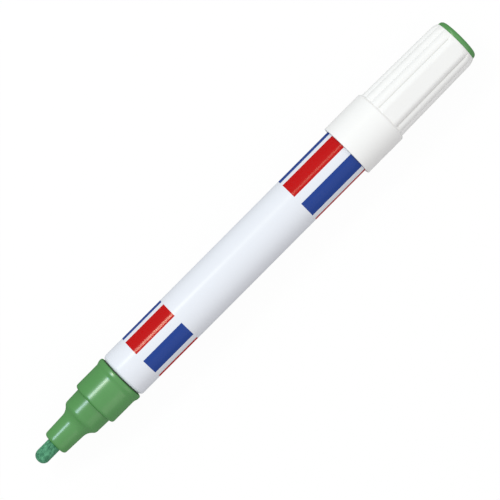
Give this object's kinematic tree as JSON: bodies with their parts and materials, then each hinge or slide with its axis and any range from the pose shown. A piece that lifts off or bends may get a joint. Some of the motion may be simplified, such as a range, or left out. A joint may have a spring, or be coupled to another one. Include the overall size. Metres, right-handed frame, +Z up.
{
  "type": "paint marker",
  "caption": "Valve paint marker with a stepped green nib holder, striped white metal barrel and a fluted white cap posted on its tail.",
  "frame": {"origin": "on the resting surface, under the middle of the marker's length, with the cap posted on the tail", "axes": "+X along the marker's axis from the nib to the posted cap, +Z up with the marker lying on its side"},
  "size_m": [0.1564, 0.0162, 0.0162],
  "materials": {
    "nib_fibre": "felted synthetic fibre, soaked with green paint",
    "green_moulding": "moulded green plastic, semi-gloss",
    "gasket_rubber": "thin dark sealing ring",
    "barrel_lacquer": "white lacquer on drawn aluminium, with printed red and blue bars",
    "valve_plastic": "natural moulded plastic",
    "spring_steel": "drawn stainless wire",
    "ball_steel": "polished steel",
    "cap_plastic": "moulded white plastic, satin",
    "liner_plastic": "soft natural plastic"
  },
  "bodies": {
    "body": {"barrel": "barrel_lacquer", "nib_holder": "green_moulding", "holder_gasket": "gasket_rubber", "valve_seat": "valve_plastic", "spring_cage": "valve_plastic", "valve_spring": "spring_steel"},
    "nib_and_valve": {"nib": "nib_fibre", "valve_stem": "valve_plastic"},
    "cap": {"cap_shell": "cap_plastic", "inner_cap": "liner_plastic", "cap_end_plug": "green_moulding"},
    "ball": {"mixing_ball": "ball_steel"}
  },
  "joints": [
    {"name": "nib_press", "type": "slide", "parent": "body", "child": "nib_and_valve", "axis": [1, 0, 0], "range_m": [0, 0.0015], "stiffness_N_per_m": 800, "springref_m": -0.001, "deforming": ["valve_spring"]},
    {"name": "cap_pull", "type": "slide", "parent": "body", "child": "cap", "axis": [1, 0, 0], "range_m": [0, 0.03]},
    {"name": "ball_slide", "type": "slide", "parent": "body", "child": "ball", "axis": [1, 0, 0], "range_m": [-0.033, 0.034]}
  ]
}
